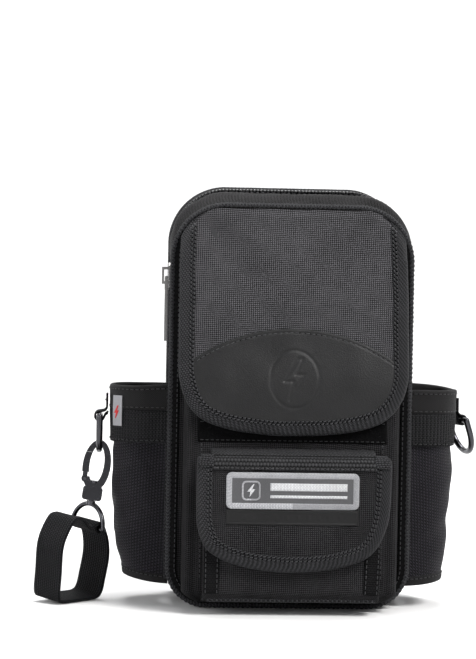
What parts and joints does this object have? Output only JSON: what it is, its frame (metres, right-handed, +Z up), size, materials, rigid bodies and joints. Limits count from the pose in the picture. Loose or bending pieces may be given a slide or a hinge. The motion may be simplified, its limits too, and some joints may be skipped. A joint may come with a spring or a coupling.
{
  "type": "tool pouch",
  "caption": "Upright fabric tool pouch with a zipped main compartment, flapped front pockets, open side pockets, D-rings and a clip-on webbing tape strap.",
  "frame": {"origin": "on the flat underside of the base pad, midway between the sides and near the middle of the overall depth", "axes": "+Z up, the front faces -Y, +X to the right of someone facing the front"},
  "size_m": [0.2902, 0.1294, 0.2745],
  "materials": {
    "outer_fabric": "black ballistic nylon, fine weave",
    "binding": "ribbed grosgrain tape",
    "webbing": "ribbed nylon webbing",
    "lining": "smooth grey nylon lining",
    "foam": "closed-cell foam",
    "stiffener": "polyethylene sheet",
    "vinyl": "smooth matte synthetic leather",
    "hook_and_loop": "hook and loop tape",
    "zip_coil": "moulded nylon teeth",
    "zip_metal": "polished nickel",
    "ring_metal": "black nickel",
    "hook_metal": "black plated die casting",
    "label": "woven grey label",
    "label_edge": "embroidered silver thread",
    "tag": "woven grey tag",
    "rivet_metal": "black nickel"
  },
  "bodies": {
    "pouch": {"back_cover": "outer_fabric", "back_stiffener": "stiffener", "back_foam": "foam", "back_lining": "lining", "back_binding": "binding", "belt_loop": "webbing", "belt_loop_rivets": "rivet_metal", "front_panel_cover": "outer_fabric", "front_panel_foam": "foam", "front_binding": "binding", "base_pad": "outer_fabric", "base_stiffener": "stiffener", "base_lining": "lining", "gusset_lower": "outer_fabric", "gusset_front": "outer_fabric", "gusset_rear": "outer_fabric", "zip_tape_front": "binding", "zip_tape_rear": "binding", "zip_teeth_front": "zip_coil", "zip_teeth_rear": "zip_coil", "zip_end_stops": "zip_metal", "inner_tool_loops": "webbing", "front_pocket": "outer_fabric", "front_pocket_loop_tape": "hook_and_loop", "small_pocket": "outer_fabric", "small_pocket_bindings": "binding", "small_pocket_loop_patch": "hook_and_loop", "side_pocket_left": "outer_fabric", "side_pocket_right": "outer_fabric", "side_pocket_rim_left": "binding", "side_pocket_rim_right": "binding", "side_pocket_band_left": "webbing", "side_pocket_band_right": "webbing", "side_tag": "tag", "d_ring_tab_left": "webbing", "d_ring_tab_right": "webbing"},
    "main_flap": {"main_flap_panel": "outer_fabric", "main_flap_binding": "binding", "main_flap_vinyl": "vinyl", "main_flap_hook_tape": "hook_and_loop"},
    "small_flap_root": {"small_flap_webbing": "webbing"},
    "small_flap": {"small_flap_panel": "outer_fabric", "small_flap_binding": "binding", "label_frame": "label_edge", "label_plate": "label", "small_flap_hook_patch": "hook_and_loop"},
    "slider_left": {"zip_slider_left": "zip_metal"},
    "slider_right": {"zip_slider_right": "zip_metal"},
    "pull_left": {"zip_pull_left": "zip_metal"},
    "pull_right": {"zip_pull_right": "zip_metal"},
    "d_ring_left": {"d_ring_left": "ring_metal"},
    "d_ring_right": {"d_ring_right": "ring_metal"},
    "snap_hook": {"snap_hook_body": "hook_metal", "snap_gate_pin": "hook_metal"},
    "snap_gate": {"snap_gate": "hook_metal"},
    "swivel_eye": {"swivel_eye": "ring_metal"},
    "tape_strap": {"tape_strap": "webbing"}
  },
  "joints": [
    {"name": "main_flap_hinge", "type": "hinge", "parent": "pouch", "child": "main_flap", "pos_m": [0, -0.0236, 0.2555], "axis": [-1, 0, 0], "range_deg": [0, 150]},
    {"name": "small_flap_root_hinge", "type": "hinge", "parent": "pouch", "child": "small_flap_root", "pos_m": [0, -0.0417, 0.106], "axis": [-1, 0, 0], "range_deg": [0, 50]},
    {"name": "small_flap_fold", "type": "hinge", "parent": "small_flap_root", "child": "small_flap", "pos_m": [0, -0.0591, 0.1006], "axis": [-1, 0, 0], "range_deg": [0, 110]},
    {"name": "slider_left_slide", "type": "slide", "parent": "pouch", "child": "slider_left", "axis": [0, 0, 1], "range_m": [-0.06, 0]},
    {"name": "slider_right_slide", "type": "slide", "parent": "pouch", "child": "slider_right", "axis": [0, 0, 1], "range_m": [-0.06, 0]},
    {"name": "pull_left_hinge", "type": "hinge", "parent": "slider_left", "child": "pull_left", "pos_m": [-0.08035, 0.022, 0.2124], "axis": [0, 1, 0], "range_deg": [0, 160]},
    {"name": "pull_right_hinge", "type": "hinge", "parent": "slider_right", "child": "pull_right", "pos_m": [0.08035, 0.022, 0.2124], "axis": [0, -1, 0], "range_deg": [0, 160]},
    {"name": "d_ring_left_swing", "type": "hinge", "parent": "pouch", "child": "d_ring_left", "pos_m": [-0.1225, 0.014, 0.121], "axis": [0, 1, 0], "range_deg": [0, 80]},
    {"name": "d_ring_right_swing", "type": "hinge", "parent": "pouch", "child": "d_ring_right", "pos_m": [0.11638, 0.03053, 0.121], "axis": [0.2588, -0.9659, 0], "range_deg": [-18, 45]},
    {"name": "snap_hook_swing", "type": "hinge", "parent": "d_ring_left", "child": "snap_hook", "pos_m": [-0.1225, 0.014, 0.0985], "axis": [0, 1, 0], "range_deg": [-3, 60]},
    {"name": "snap_gate_hinge", "type": "hinge", "parent": "snap_hook", "child": "snap_gate", "pos_m": [-0.13162, 0.014, 0.07959], "axis": [0, 1, 0], "range_deg": [0, 25], "stiffness_Nm_per_rad": 0.02, "springref_deg": -28.65},
    {"name": "swivel_spin", "type": "hinge", "parent": "snap_hook", "child": "swivel_eye", "pos_m": [-0.1225, 0.014, 0.0985], "axis": [0.1392, 0, 0.9903], "range_deg": [-40, 60]},
    {"name": "strap_hinge", "type": "hinge", "parent": "swivel_eye", "child": "tape_strap", "pos_m": [-0.12949, 0.014, 0.04879], "axis": [-0.7002, 0.7071, 0.0984], "range_deg": [0, 40]}
  ]
}
